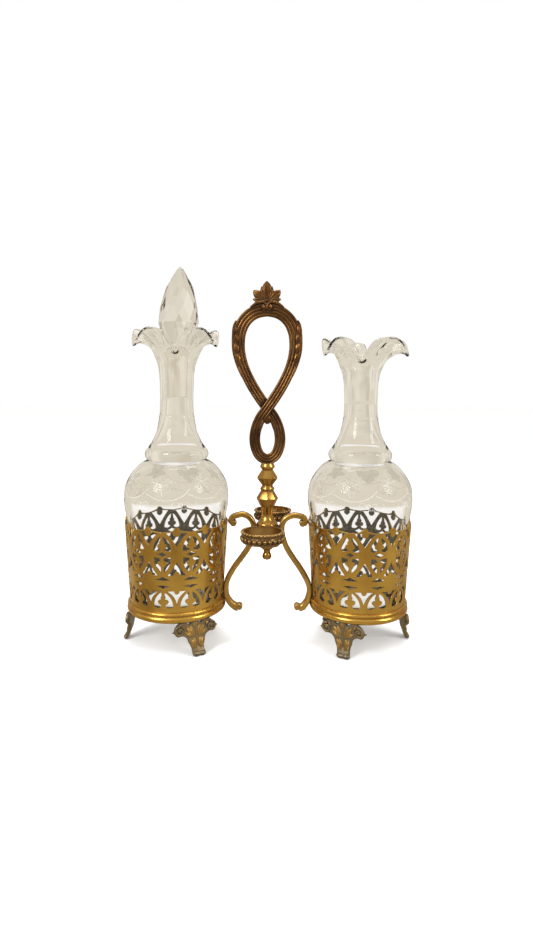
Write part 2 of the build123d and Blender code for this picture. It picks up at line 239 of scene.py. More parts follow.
def sweep(path, section, normal=(0, 1, 0), widths=None, closed=False):
    """Section (sideways, along normal) carried along a 3-D path, with flat ends."""
    path = np.array(path, float)
    widths = np.ones(len(path)) if widths is None else np.array(widths, float)
    if closed:
        tangent = np.roll(path, -1, axis=0) - np.roll(path, 1, axis=0)
    else:
        tangent = np.gradient(path, axis=0)
    tangent /= np.linalg.norm(tangent, axis=1)[:, None]
    fixed = np.array(normal, float)
    side = np.cross(np.broadcast_to(fixed, tangent.shape), tangent)
    side /= np.linalg.norm(side, axis=1)[:, None]
    points = []
    for p, s, w in zip(path, side, widths):
        for u, v in section:
            points.append(p + s * u * w + fixed * v)
    rows, columns = len(path), len(section)
    if closed:
        return Shape(points, grid_faces(rows, columns, close_rows=True, close_columns=True))
    return Shape(points, bar_faces(rows, columns))


def rounded_box_section(width, depth, radius, count=4):
    """Rectangle with round corners as points (sideways, along normal)."""
    points = []
    corners = [(1, 1, 0), (-1, 1, 90), (-1, -1, 180), (1, -1, 270)]
    for sx, sy, start in corners:
        for k in range(count + 1):
            a = math.radians(start + 90 * k / count)
            points.append((sx * (width / 2 - radius) + radius * math.cos(a),
                           sy * (depth / 2 - radius) + radius * math.sin(a)))
    return points


def leaf_blade(base, tip, width, height, face=(0, -1, 0), groove=0.35, fullness=0.75,
               rows=13, columns=9, curl=0.0):
    """Domed pointed leaf with a centre groove, raised along face from the line base to tip."""
    base, tip, up = Vector(base), Vector(tip), Vector(face).normalized()
    along = tip - base
    side = along.cross(up).normalized()
    points = []
    for r in range(rows):
        u = r / (rows - 1)
        half = width / 2 * math.sin(math.pi * min(1, u ** fullness * 0.93 + 0.07)) ** 0.8
        rise = height * math.sin(math.pi * (0.12 + 0.88 * u)) ** 0.6
        for c in range(columns):
            v = 2 * c / (columns - 1) - 1
            dome = math.sqrt(max(0, 1 - v * v)) - groove * math.exp(-(v / 0.22) ** 2)
            bend = curl * height * u * u
            points.append(base + along * u + side * half * v + up * (rise * dome + bend))
    for r in range(rows):
        u = r / (rows - 1)
        points.append(base + along * u - up * 0.2 * height)
    faces = grid_faces(rows, columns)
    under = rows * columns
    for r in range(rows - 1):
        faces.append((r * columns, under + r, under + r + 1, (r + 1) * columns))
        last = columns - 1
        faces.append((r * columns + last, (r + 1) * columns + last, under + r + 1, under + r))
    return Shape(points, faces)


# ---- materials ----
def new_material(name):
    material = bpy.data.materials.new(name)
    material.use_nodes = True
    tree = material.node_tree
    tree.nodes.clear()
    output = tree.nodes.new("ShaderNodeOutputMaterial")
    surface = tree.nodes.new("ShaderNodeBsdfPrincipled")
    tree.links.new(surface.outputs[0], output.inputs["Surface"])
    return material, tree, surface


def new_node(tree, kind, **inputs):
    """Adds a node and sets the inputs named, with _ for a space."""
    node = tree.nodes.new(kind)
    for name, value in inputs.items():
        value_input(tree, node.inputs[name.replace("_", " ")], value)
    return node


def value_input(tree, socket, value):
    """Connects a socket or sets a plain value."""
    if isinstance(value, bpy.types.NodeSocket):
        tree.links.new(value, socket)
    else:
        socket.default_value = value


def noise(tree, scale, detail):
    """Noise in object space; scale is in features per metre."""
    where = tree.nodes.new("ShaderNodeTexCoord")
    return new_node(tree, "ShaderNodeTexNoise", Vector=where.outputs["Object"], Scale=scale,
                    Detail=detail, Roughness=0.55).outputs["Fac"]


def remap(tree, value, low, high, to_low=0.0, to_high=1.0):
    node = tree.nodes.new("ShaderNodeMapRange")
    for socket, amount in zip(node.inputs, (value, low, high, to_low, to_high)):
        value_input(tree, socket, amount)
    return node.outputs[0]


def arithmetic(tree, operation, a, b):
    node = tree.nodes.new("ShaderNodeMath")
    node.operation = operation
    value_input(tree, node.inputs[0], a)
    value_input(tree, node.inputs[1], b)
    return node.outputs[0]


def vector_math(tree, operation, *values):
    node = tree.nodes.new("ShaderNodeVectorMath")
    node.operation = operation
    for socket, value in zip(node.inputs, values):
        value_input(tree, socket, value)
    return node


def mix_colour(tree, factor, a, b):
    node = tree.nodes.new("ShaderNodeMix")
    node.data_type = "RGBA"
    value_input(tree, node.inputs[0], factor)
    value_input(tree, node.inputs[6], a)
    value_input(tree, node.inputs[7], b)
    return node.outputs[2]


def bump(tree, surface, height, strength, distance):
    node = new_node(tree, "ShaderNodeBump", Strength=strength, Distance=distance, Height=height)
    tree.links.new(node.outputs[0], surface.inputs["Normal"])


def recess(tree, distance):
    """One in open places, falling to zero in corners and grooves."""
    node = new_node(tree, "ShaderNodeAmbientOcclusion", Distance=distance)
    node.samples = 4
    return node.outputs["AO"]


def brass(name, bright, worn, dark, roughness, shade_and_grime_amount, shade_and_grime_distance=0.002, grain=0.1):
    """Brass with tarnish clouds, a smeared gloss and a fine grain; recesses found by ambient
    occlusion turn towards the dark colour, which is painted shade together with grime.
    """
    material, tree, surface = new_material(name)
    clouds = noise(tree, 55, 5)
    specks = noise(tree, 700, 3)
    # painted shade: the ambient-occlusion mask darkens recesses, and stands for grime there as well
    open_place = recess(tree, shade_and_grime_distance)
    tone = mix_colour(tree, remap(tree, clouds, 0.35, 0.68), bright, worn)
    recess_shade_and_grime = remap(tree, open_place, 0.35, 0.95, 1.0, 0.0)
    patchy_shade_and_grime = arithmetic(tree, "MULTIPLY", recess_shade_and_grime, remap(tree, specks, 0.3, 0.6, 0.6, 1.15))
    shade_and_grime = arithmetic(tree, "MULTIPLY", patchy_shade_and_grime, shade_and_grime_amount)
    shade_and_grime = arithmetic(tree, "MINIMUM", shade_and_grime, 1.0)
    # painted shade and grime: recesses mix towards the dark colour, and lose metal and gloss
    tree.links.new(mix_colour(tree, shade_and_grime, tone, dark), surface.inputs["Base Color"])
    value_input(tree, surface.inputs["Metallic"], remap(tree, shade_and_grime, 0.0, 1.0, 1.0, 0.35))
    smear = remap(tree, noise(tree, 160, 4), 0.3, 0.7, roughness * 0.75, roughness * 1.35)
    value_input(tree, surface.inputs["Roughness"],
                arithmetic(tree, "ADD", smear, arithmetic(tree, "MULTIPLY", shade_and_grime, 0.35)))
    bump(tree, surface, noise(tree, 900, 4), grain, 0.0003)
    return material


def clear_glass(name, tint, waviness, bend):
    """Clear glass; light caught inside the wall after many bounces ends on a painted glow of soft
    grey.
    """
    material, tree, surface = new_material(name)
    haze = remap(tree, noise(tree, 60, 3), 0.45, 0.75, 0.0, 0.06)
    value_input(tree, surface.inputs["Base Color"],
                mix_colour(tree, haze, tint, (0.60, 0.57, 0.52, 1)))
    value_input(tree, surface.inputs["Roughness"], haze)
    surface.inputs["Transmission Weight"].default_value = 1.0
    surface.inputs["IOR"].default_value = bend
    surface.inputs["Specular IOR Level"].default_value = 0.9
    bump(tree, surface, noise(tree, 38, 2), waviness, 0.004)
    # painted glow: past six bounces the surface turns into a grey emission in place of the light the
    # ray would have found
    depth = tree.nodes.new("ShaderNodeLightPath").outputs["Ray Depth"]
    caught = new_node(tree, "ShaderNodeEmission", Color=(0.50, 0.465, 0.40, 1))
    layer_shader(tree, surface.outputs[0], arithmetic(tree, "GREATER_THAN", depth, 6), caught)
    return material


def layer_shader(tree, below, share, above):
    """Mixes a shader node over a shader socket by a share and makes it the surface."""
    mix = tree.nodes.new("ShaderNodeMixShader")
    tree.links.new(share, mix.inputs[0])
    tree.links.new(below, mix.inputs[1])
    tree.links.new(above.outputs[0], mix.inputs[2])
    output = next(node for node in tree.nodes if node.type == "OUTPUT_MATERIAL")
    tree.links.new(mix.outputs[0], output.inputs["Surface"])
    return mix.outputs[0]


def frosted_glass(name, colour, least, most):
    """Ground glass of the engraving: a veil over the bottle, between two opacities."""
    material, tree, surface = new_material(name)
    grain = noise(tree, 1800, 2)
    surface.inputs["Base Color"].default_value = colour
    value_input(tree, surface.inputs["Roughness"], remap(tree, grain, 0.3, 0.7, 0.55, 0.8))
    value_input(tree, surface.inputs["Alpha"], remap(tree, grain, 0.3, 0.7, least, most))
    return material


# The third colour of each brass is the painted shade and grime colour that its recesses turn to.
POLISHED = brass("polished_brass", (0.68, 0.41, 0.085, 1), (0.54, 0.30, 0.055, 1),
                 (0.07, 0.035, 0.015, 1), 0.24, 0.7, 0.0012, 0.06)
KNOP = brass("worn_brass", (0.50, 0.29, 0.07, 1), (0.36, 0.19, 0.045, 1),
             (0.06, 0.03, 0.012, 1), 0.22, 1.0, 0.0014, 0.05)
AGED = brass("aged_brass", (0.60, 0.37, 0.09, 1), (0.36, 0.20, 0.055, 1),
             (0.03, 0.016, 0.008, 1), 0.26, 1.5, 0.0016, 0.06)
ANTIQUE = brass("antique_brass", (0.48, 0.29, 0.095, 1), (0.26, 0.14, 0.045, 1),
                (0.016, 0.008, 0.004, 1), 0.28, 1.9, 0.0022)
BRONZED = brass("bronzed_brass", (0.22, 0.105, 0.030, 1), (0.075, 0.030, 0.011, 1),
                (0.010, 0.005, 0.003, 1), 0.34, 1.7, 0.0026, 0.04)
GILT = brass("gilt_brass", (0.58, 0.33, 0.07, 1), (0.42, 0.225, 0.05, 1),
             (0.10, 0.085, 0.055, 1), 0.32, 1.6, 0.0012, 0.2)
CAST = brass("patinated_brass", (0.30, 0.22, 0.11, 1), (0.17, 0.145, 0.095, 1),
             (0.055, 0.048, 0.038, 1), 0.42, 1.5, 0.0024, 0.2)
DULL = brass("dull_inside_brass", (0.74, 0.70, 0.62, 1), (0.50, 0.46, 0.39, 1),
             (0.16, 0.145, 0.12, 1), 0.6, 0.8, 0.004)
STEEL = brass("steel", (0.52, 0.52, 0.52, 1), (0.4, 0.4, 0.4, 1), (0.1, 0.09, 0.08, 1), 0.3, 1.0)
GLASS = clear_glass("clear_glass", (0.98, 0.97, 0.95, 1), 0.06, 1.25)
CUT_GLASS = clear_glass("cut_glass", (0.965, 0.95, 0.92, 1), 0.01, 1.36)
FROST = frosted_glass("ground_leaves", (0.40, 0.37, 0.31, 1), 0.14, 0.26)
ETCH = frosted_glass("etched_lines", (0.74, 0.72, 0.67, 1), 0.22, 0.42)


# ---- pierced galleries ----
REPEATS = 11
REPEAT_ANGLE = 31.48
FIRST_KNOB = (360 - (REPEATS - 1) * REPEAT_ANGLE) / 2
PLATE_BEVEL = 0.16


def wall_radius(z):
    rise = max(0.0, z - RING_TOP) / (RIM_Z - RING_TOP)
    return WALL_FOOT_RADIUS + rise * (WALL_RIM_RADIUS - WALL_FOOT_RADIUS)


def flipped(points):
    return [(-x, z) for x, z in points]


def knob_openings():
    """Openings on the line of a knob: (sideways, height)."""
    top = outline((-6.9, 83.0), (-1.7, 83.5), ((-2.3, 82.1), (-1.6, 81.2)),
                  ((0, 80.5), (1.6, 81.2)), ((2.3, 82.1), (1.7, 83.5)), (6.9, 83.0),
                  ((3.2, 78.7), (0, 74.0)), ((-3.2, 78.7), (-6.9, 83.0)))
    middle = outline((0, 63.7), ((2.5, 59.4), (6.0, 54.5)), (2.6, 54.7), (1.9, 55.8),
                     ((0, 57.2), (-1.9, 55.8)), (-2.6, 54.7), (-6.0, 54.5),
                     ((-2.5, 59.4), (0, 63.7)))
    bottom = outline((-6.4, 44.0), (-2.0, 44.2), (-1.6, 43.2), ((0, 42.0), (1.6, 43.2)),
                     (2.0, 44.2), (6.4, 44.0), ((2.5, 40.8), (0, 35.4)),
                     ((-2.5, 40.8), (-6.4, 44.0)))
    return [top, middle, bottom]


def arch_halves():
    """Right halves of the three arches, measured from the line between two knobs."""
    upper = outline((0.8, 80.9), ((4.5, 77.0), (5.9, 72.4)), ((5.6, 71.4), (4.6, 71.1)),
                    ((2.9, 71.0), (1.5, 71.9)), (1.4, 72.8), ((2.3, 72.9), (3.2, 74.3)),
                    ((2.6, 75.6), (1.4, 75.9)), ((1.9, 76.7), (1.1, 78.0)))
    lower = outline((1.2, 66.2), ((3.4, 66.6), (5.4, 66.9)), ((4.9, 62.0), (1.0, 57.0)),
                    (1.0, 60.3), ((1.8, 61.0), (3.0, 62.6)), ((2.7, 64.0), (1.5, 64.1)))
    arcade = outline((1.1, 43.3), ((5.0, 39.4), (6.6, 34.0)), ((6.2, 33.2), (5.2, 33.0)),
                     ((3.6, 32.8), (2.0, 33.4)), (1.2, 34.8), ((2.4, 35.2), (3.6, 36.6)),
                     ((2.5, 38.3), (1.2, 38.2)), ((1.6, 39.6), (1.0, 41.2)))
    return [upper, lower, arcade]


def band_openings():
    diamond = outline((-3.8, 68.8), ((-1.4, 69.6), (0, 70.6)), ((1.4, 69.6), (3.8, 68.8)),
                      ((1.4, 68.0), (0, 67.0)), ((-1.4, 68.0), (-3.8, 68.8)))
    upper_slit = outline((-5.1, 51.8), ((0, 51.2), (5.1, 51.8)), ((2.0, 52.9), (0, 53.9)),
                         ((-2.0, 52.9), (-5.1, 51.8)))
    lower_slit = outline((-5.1, 47.5), ((-2.0, 46.7), (0, 45.7)), ((2.0, 46.7), (5.1, 47.5)),
                         ((0, 48.0), (-5.1, 47.5)))
    return [diamond, upper_slit, lower_slit]


def rim_line():
    """Upper edge of the unrolled wall: round knobs with shallow dips between them."""
    points = []
    for k in range(REPEATS):
        knob = math.radians(FIRST_KNOB + k * REPEAT_ANGLE)
        bump_outline = [(-2.4, 84.7)] + circle_arc((-1.9, 85.0), (0, 86.7), (1.9, 85.0), 8)
        bump_outline.append((2.4, 84.7))
        points += [(knob + x / wall_radius(RIM_Z), z) for x, z in bump_outline]
        following = math.radians(REPEAT_ANGLE)
        for share in (0.25, 0.4, 0.5, 0.6, 0.75):
            dip = 83.5 + 1.2 * (2 * abs(share - 0.5)) ** 1.5
            if k < REPEATS - 1:
                points.append((knob + share * following, dip))
    left = [(0.0, 83.7), (math.radians(FIRST_KNOB / 2), 83.7)]
    right = [(math.tau - angle, z) for angle, z in reversed(left)]
    return left + points + right


def wall_outlines():
    """Every outline of the unrolled wall as (angle, height) points, the outer one first."""
    bottom = bottom_of("left_gallery")
    outlines = [[(math.tau, bottom), (0.0, bottom)] + rim_line()]

    def put(angle, shapes):
        for points in shapes:
            centre = math.radians(angle)
            outlines.append([(centre + x / wall_radius(z), z) for x, z in points])

    for k in range(REPEATS):
        knob = FIRST_KNOB + k * REPEAT_ANGLE
        put(knob, knob_openings())
        put(knob - REPEAT_ANGLE / 2, arch_halves())
        put(knob + REPEAT_ANGLE / 2, [flipped(half) for half in arch_halves()])
        if k:
            put(knob - REPEAT_ANGLE / 2, band_openings())
    return outlines


def filled_plate(outlines, depth, bevel):
    """Flat plate with holes from closed outlines, with rounded edges; returns a bmesh."""
    curve = bpy.data.curves.new("plate", "CURVE")
    curve.dimensions = "2D"
    curve.fill_mode = "BOTH"
    curve.extrude = depth / 2 - bevel
    curve.bevel_depth = bevel
    curve.bevel_resolution = 1
    curve.offset = -bevel
    for points in outlines:
        spline = curve.splines.new("POLY")
        spline.points.add(len(points) - 1)
        spline.points.foreach_set("co", [c for x, y in points for c in (x, y, 0, 1)])
        spline.use_cyclic_u = True
    carrier = bpy.data.objects.new("plate", curve)
    bpy.context.scene.collection.objects.link(carrier)
    bpy.context.view_layer.update()
    mesh = bpy.data.meshes.new_from_object(carrier.evaluated_get(
        bpy.context.evaluated_depsgraph_get()))
    bpy.data.objects.remove(carrier)
    work = bmesh.new()
    work.from_mesh(mesh)
    bpy.data.meshes.remove(mesh)
    bmesh.ops.remove_doubles(work, verts=work.verts, dist=1e-4)
    return work


def cut_across(work, places, axis):
    """Cuts a flat plate by planes square to an axis, so that it can be bent smoothly."""
    normal = [0, 0, 0]
    normal[axis] = 1
    for place in places:
        bmesh.ops.bisect_plane(work, geom=work.verts[:] + work.edges[:] + work.faces[:],
                               dist=1e-5, plane_co=[place * n for n in normal],
                               plane_no=normal)


def bent_plate(work, bend):
    """Shape of a flat plate after bend has moved each of its points; frees the bmesh."""
    work.verts.index_update()
    shape = Shape([bend(*vertex.co) for vertex in work.verts],
                  [[v.index for v in face.verts] for face in work.faces])
    work.free()
    return shape


def gallery_shape(centre, seam):
    """Pierced plate drawn flat in mm, cut into narrow strips, then rolled into the wall."""
    flat_radius = wall_radius(60)
    flat = [[(a * flat_radius, z) for a, z in points] for points in wall_outlines()]
    work = filled_plate(flat, WALL, PLATE_BEVEL)
    strips = 170
    width = math.tau * flat_radius
    cut_across(work, [width * k / strips for k in range(1, strips)], axis=0)

    def roll_up(x, z, out):
        angle = x / flat_radius + math.radians(seam)
        radius = wall_radius(z) - WALL / 2 + out
        return (centre.x + radius * math.cos(angle), centre.y + radius * math.sin(angle), z)

    return bent_plate(work, roll_up)


def build_basket(name, centre, seam):
    """Pierced wall with a dull inside, and the moulded ring round its foot."""
    wall = make_piece(f"{name}_gallery_wall", gallery_shape(centre, seam), "stand",
                      POLISHED, sharp=40, nodes=(f"{name}_gallery",))
    wall.data.materials.append(DULL)
    inside = -0.02       # metres; a face on the inside of the wall comes to about -0.034
    for face in wall.data.polygons:
        outward = (face.center.x - centre.x * MM) * face.normal.x
        outward += (face.center.y - centre.y * MM) * face.normal.y
        if outward < inside:
            face.material_index = 1
    ring = centre_of(f"{name}_base_ring")
    radius = radius_of(f"{name}_base_ring")
    inner = WALL_FOOT_RADIUS + 0.05
    profile = [(29.5, RING_BOTTOM), (radius - 1.3, RING_BOTTOM)]
    profile += circle_arc(profile[-1], (radius, 24.7), (radius - 1.1, 26.6), 10)
    profile += [(radius - 1.35, 26.8), (radius - 1.2, 27.1)]
    profile += circle_arc(profile[-1], (radius - 0.35, 28.2), (radius - 1.0, 29.2), 8)
    profile += [(radius - 1.5, RING_TOP), (inner, RING_TOP), (inner, 24.0), (29.5, 24.0)]
    make_piece(f"{name}_moulded_ring", lathe(profile, 128, (ring.x, ring.y)), "stand",
               POLISHED, sharp=50, nodes=(f"{name}_base_ring",))
    repaint(f"{name}_floor", DULL)


# ---- feet ----
FOOT_LEAN = 2.2          # the leg stands this far to one side of the middle of the scrolls


def foot_outline():
    """Right half of the leaf, as (sideways, height), from the middle of the top round to the toe."""
    return outline((0, RING_BOTTOM), (2.4, RING_BOTTOM), ((3.0, 21.5), (4.0, 20.9)),
                   ((5.0, 21.5), (5.8, RING_BOTTOM - 0.1)), (9.6, RING_BOTTOM - 0.1),
                   ((12.9, 20.7), (14.2, 17.6)),
                   (16.2, 17.2), (14.2, 16.0), ((12.6, 13.9), (10.6, 14.0)),
                   ((7.4, 12.8), (5.8, 9.0)), ((4.6, 6.2), (4.3, 3.8)),
                   (4.4, 2.0), (4.0, 0.8), (0, 0.8))


def foot_spine(z):
    """Distance of the middle of the foot plate from the basket axis at a height."""
    heights = (0.0, 2.4, 7.0, 14.0, 19.0, 26.0)
    radii = (35.1, 34.2, 32.5, 31.5, 31.0, 30.7)
    return float(np.interp(z, heights, radii))


def foot_shape():
    """Foot at angle zero: x is outwards from the basket axis, y sideways, z up."""
    right = foot_outline()
    left = [(-y, z) for y, z in reversed(right)][1:-1]
    work = filled_plate([right + left], depth=2.1, bevel=0.6)
    cut_across(work, range(-17, 17), axis=0)
    cut_across(work, range(1, 25), axis=1)

    def bend(y, z, out):
        swell = 0.6 * math.exp(-(y / 4.2) ** 2) * (1 if out > 0 else 0.2)
        return (foot_spine(z) + out + swell, y, z)

    shape = bent_plate(work, bend)
    for side in (-1, 1):
        curl = []
        for k in range(30):
            turn = math.radians(100 - 430 * k / 29)
            radius = 3.3 - 2.1 * k / 29
            curl.append((foot_spine(17.6) + 0.9, side * (11.2 + radius * math.cos(turn)),
                         17.6 + radius * math.sin(turn)))
        shape.add_shape(sweep(curl, rounded_box_section(1.5, 2.4, 0.6), normal=(1, 0, 0)))
        shape.add_shape(ball((foot_spine(17.6) + 1.1, side * 11.2, 17.6), 1.2))
    return shape


def toe_shape():
    """Turned-up toe: a bar across the foot, swelling into a knuckle on each side."""
    steps = 25
    toe = [(35.2, y, 1.7) for y in np.linspace(-4.6, 4.6, steps)]
    circle = [(x, y) for x, y, _ in circle_points(1.7, 0, 18)]
    across = [2 * k / (steps - 1) - 1 for k in range(steps)]
    scales = [(1 - 0.94 * abs(u) ** 5) ** 0.5 * (0.80 + 0.20 * math.sin(math.pi * abs(u)))
              for u in across]
    return scaled_bar(toe, circle, scales)


def foot_leaves():
    """Acanthus leaves that stand up from the front of a foot."""
    shape = Shape()

    def leaf(y0, z0, y1, z1, width):
        lift = 1.15
        shape.add_shape(leaf_blade((foot_spine(z0) + lift, y0, z0),
                                   (foot_spine(z1) + lift - 0.4, y1, z1),
                                   width, 1.2, (1, 0, 0.15), groove=0.45, fullness=1.15))

    upper = [(1.2, 13.0, 3.6, 20.6, 2.6), (1.6, 12.6, 6.2, 19.8, 2.9), (2.4, 13.0, 7.6, 16.6, 2.2)]
    lower = [(1.0, 5.6, 2.4, 13.0, 2.1), (1.4, 5.2, 4.3, 12.2, 2.4), (2.0, 5.4, 4.3, 8.8, 1.7)]
    edge = [(7.6, 18.2, 9.4, 21.8, 1.6), (13.0, 15.4, 13.4, 20.0, 1.5), (9.4, 14.6, 12.2, 14.8, 1.2)]
    for side in (-1, 1):
        for y0, z0, y1, z1, width in upper + lower + edge:
            leaf(side * y0, z0, side * y1, z1, width)
    leaf(0, 19.0, 0, RING_BOTTOM + 0.3, 3.0)
    return shape


def scaled_bar(path, section, scales):
    """Bar along y whose section, drawn in x and z, grows and shrinks along its length."""
    points = []
    for (x, y, z), scale in zip(path, scales):
        points += [(x + u * scale, y, z + v * scale) for u, v in section]
    return Shape(points, bar_faces(len(path), len(section)))


def build_feet():
    casting = foot_shape()
    casting.add_shape(toe_shape())
    leaves = foot_leaves()
    for shape in (casting, leaves):
        shape.points = [(x, y + FOOT_LEAN * (1 - z / RING_BOTTOM), z) for x, y, z in shape.points]
    for name, centre in (("left", LEFT), ("right", RIGHT)):
        for place in ("outer", "front", "back"):
            node = f"{name}_{place}_foot"
            where = centre_of(node) - centre
            angle = math.atan2(where.y, where.x)
            turn = Matrix.Translation((centre.x, centre.y, 0)) @ Matrix.Rotation(angle, 4, "Z")
            make_piece(f"{node}_casting", placed(casting, turn), "stand",
                       CAST, sharp=50, nodes=(node,))
            make_piece(f"{node}_leaves", placed(leaves, turn), "stand",
                       GILT, sharp=50)


# ---- arms, hub, stopper rings ----
def build_arms():
    """The two S-scroll straps; each path runs from the upper curl to the lower one."""
    right_path = [(25.2, 81.3), (26.4, 83.2), (25.6, 85.6), (22.6, 87.0), (17.4, 87.4),
                  (12.6, 85.2), (10.2, 81.6), (9.8, 77.8), (10.3, 73.5), (12.0, 67.6),
                  (14.6, 62.3), (18.5, 56.3), (22.8, 50.2), (26.9, 43.3), (29.3, 37.4),
                  (29.6, 32.2), (28.0, 26.6), (25.2, 22.6), (22.2, 21.4)]
    left_path = [(23.8, 81.9), (26.2, 83.4), (25.2, 85.9), (22.3, 87.2), (17.6, 88.0),
                 (13.2, 86.0), (10.6, 82.2), (10.0, 77.6), (11.2, 70.6), (13.6, 64.7),
                 (18.3, 57.7), (23.4, 50.7), (27.9, 42.6), (29.4, 36.2), (29.0, 30.2),
                 (26.3, 25.2), (23.0, 22.4), (20.6, 21.3)]
    for name, side, path in (("left", -1, left_path), ("right", 1, right_path)):
        line = smooth_curve([(side * x, 0, z) for x, z in path], 130)
        widths = [1.0 + 0.22 * math.exp(-((k - 126) / 7) ** 2) for k in range(130)]
        section = rounded_box_section(3.8, 5.8, 1.2)
        shape = sweep(line, section, widths=widths)
        shape.add_shape(curl_end(side * 24.3, 82.0, 2.3))
        shape.add_shape(curl_end(side * (21.0 if side > 0 else 19.9), 22.4, 2.15))
        make_piece(f"{name}_scroll_arm", shape, "stand", AGED,
                   sharp=50, nodes=(f"{name}_arm",))


def curl_end(x, z, radius):
    """Rounded drum across the strap that closes a scroll."""
    half_depth = 3.0
    profile = [(0.0, -half_depth), (radius * 0.7, -half_depth)]
    profile += circle_arc(profile[-1], (radius * 0.93, -half_depth + 0.35),
                          (radius, -half_depth + 1.0), 4)
    profile += [(r, -y) for r, y in reversed(profile)]
    lying = Matrix.Translation((x, 0, z)) @ Matrix.Rotation(math.pi / 2, 4, "X")
    return placed(lathe(profile, 28, closed=False), lying)


def cup_shape(centre, bore, top, height):
    """Open stopper ring: rope edge, dark groove, row of beads, groove and toothed lip."""
    bottom = top - height
    profile = [(bore, bottom + 0.2), (bore + 0.3, bottom), (bore + 0.9, bottom),
               (bore + 1.5, bottom + 0.6), (bore + 1.5, bottom + 1.4), (bore + 1.1, bottom + 1.6),
               (bore + 1.2, bottom + 4.1), (bore + 0.9, bottom + 4.5), (bore + 0.9, bottom + 5.4),
               (bore + 1.3, bottom + 5.8), (bore + 1.7, bottom + 6.6), (bore + 1.3, top - 0.2),
               (bore + 0.7, top), (bore, top - 0.3)]
    shape = lathe(profile, 110, (centre.x, centre.y))
    rows = [(25, bore + 1.35, bottom + 2.9, 1.42, 1.0), (34, bore + 1.5, top - 0.85, 0.92, 0.85),
            (34, bore + 1.3, bottom + 0.9, 0.62, 0.9)]
    for count, radius, z, size, squash in rows:
        for k in range(count):
            a = math.tau * (k + 0.25) / count
            place = (centre.x + radius * math.cos(a), centre.y + radius * math.sin(a), z)
            shape.add_shape(ball(place, size, (1, 1, squash), 12, 8))
    return shape


def build_rings():
    for side in ("front", "back"):
        node = f"{side}_stopper_ring"
        top, height = top_of(node), top_of(node) - bottom_of(node)
        make_piece(f"{side}_beaded_ring", cup_shape(centre_of(node), 12.0, top, height),
                   "stand", ANTIQUE, sharp=60, nodes=(node,))
    repaint("hub_block", ANTIQUE)
    repaint("ring_crossbar", ANTIQUE)
    repaint("tie_rod", STEEL)


# ---- stem ----
def faceted_knop(levels, sides, turn):
    """Regular polygons stacked as (distance to a flat, height), with a bore for the rod."""
    points = []
    corner = 1 / math.cos(math.pi / sides)
    for apothem, z in levels:
        points += circle_points(apothem * corner, z, sides, (STEM_X, 0), turn)
    for _, z in (levels[-1], levels[0]):
        points += circle_points(ROD_BORE, z, sides, (STEM_X, 0), turn)
    return Shape(points, grid_faces(len(levels) + 2, sides, close_rows=True, close_columns=True))


def build_stem():
    """Two faceted knops and the turned pieces above, between and below them."""
    sides = 8
    stack = {
        "lower_knop": ([(4.5, 94.0), (4.9, 94.6), (7.1, 99.4), (7.1, 99.8), (4.6, 104.4),
                        (4.2, 105.0)], 0.0),
        "upper_knop": ([(3.6, 108.8), (3.9, 109.4), (7.1, 113.9), (7.1, 114.4), (4.1, 119.2),
                        (3.7, 119.7)], math.pi / sides)}
    for node, (levels, turn) in stack.items():
        make_piece(f"{node}_casting", faceted_knop(levels, sides, turn), "stand",
                   KNOP, sharp=18, bevel=0.16, nodes=(node,))
    socket = [(ROD_BORE, HUB_TOP), (7.2, HUB_TOP), (7.5, 80.3), (7.5, 81.6), (7.2, 82.3)]
    socket += circle_arc(socket[-1], (4.7, 85.4), (3.9, 90.0), 14)
    socket += [(4.0, 92.0), (4.4, 93.4), (4.4, 94.0), (ROD_BORE, 94.0)]
    ring = [(ROD_BORE, 105.0), (4.3, 105.0), (4.6, 105.3), (5.1, 106.2), (5.0, 106.8),
            (3.9, 108.2), (3.6, 108.8), (ROD_BORE, 108.8)]
    collar = [(ROD_BORE, 119.7), (3.7, 119.7), (4.1, 120.2), (5.2, 121.7), (5.2, 122.1),
              (4.5, 123.6), (4.3, 124.2), (4.3, COLLAR_TOP), (ROD_BORE, COLLAR_TOP)]
    nut = [(0, 55.8), (1.2, 55.9), (2.5, 56.5), (3.3, 57.8), (3.3, 59.0), (2.7, 60.4),
           (2.3, 61.4), (2.4, 62.6), (3.3, 63.6), (4.4, 64.3), (4.4, HUB_BOTTOM),
           (ROD_BORE, HUB_BOTTOM), (ROD_BORE, 61.2), (0, 61.0)]
    turned = {"stem_socket": socket, "ring_knop": ring, "top_collar": collar,
              "drop_finial_nut": nut}
    for node, profile in turned.items():
        make_piece(f"{node}_turning", lathe(profile, 72, (STEM_X, 0)), "stand",
                   KNOP, sharp=40, nodes=(node,))


# ---- handle ----
CROSSING_Z = 162.6       # height where the two strands of the loop cross


def leaned(points):
    """Leans points a little to the left about the top of the collar and puts them on the stem."""
    moved = []
    for x, y, z in points:
        h = z - COLLAR_TOP
        moved.append((STEM_X + x * math.cos(LEAN) - h * math.sin(LEAN), y,
                      COLLAR_TOP + h * math.cos(LEAN) + x * math.sin(LEAN)))
    return moved


def reeded_section(width, depth, ribs):
    """Flat strap section with rounded ribs on its front and back."""
    points = []
    count = 8 * ribs
    for face in (1, -1):
        for k in range(count + 1):
            u = (k / count * 2 - 1) * -face
            rib = 0.58 * (abs(math.sin(math.pi * ribs * (u + 1) / 2)) ** 0.7 - 1)
            edge = math.sqrt(max(0.0, 1 - max(0.0, abs(u) - 0.9) ** 2 / 0.01))
            points.append((u * width / 2, face * (depth / 2 * (0.45 + 0.55 * edge) + rib)))
    return points


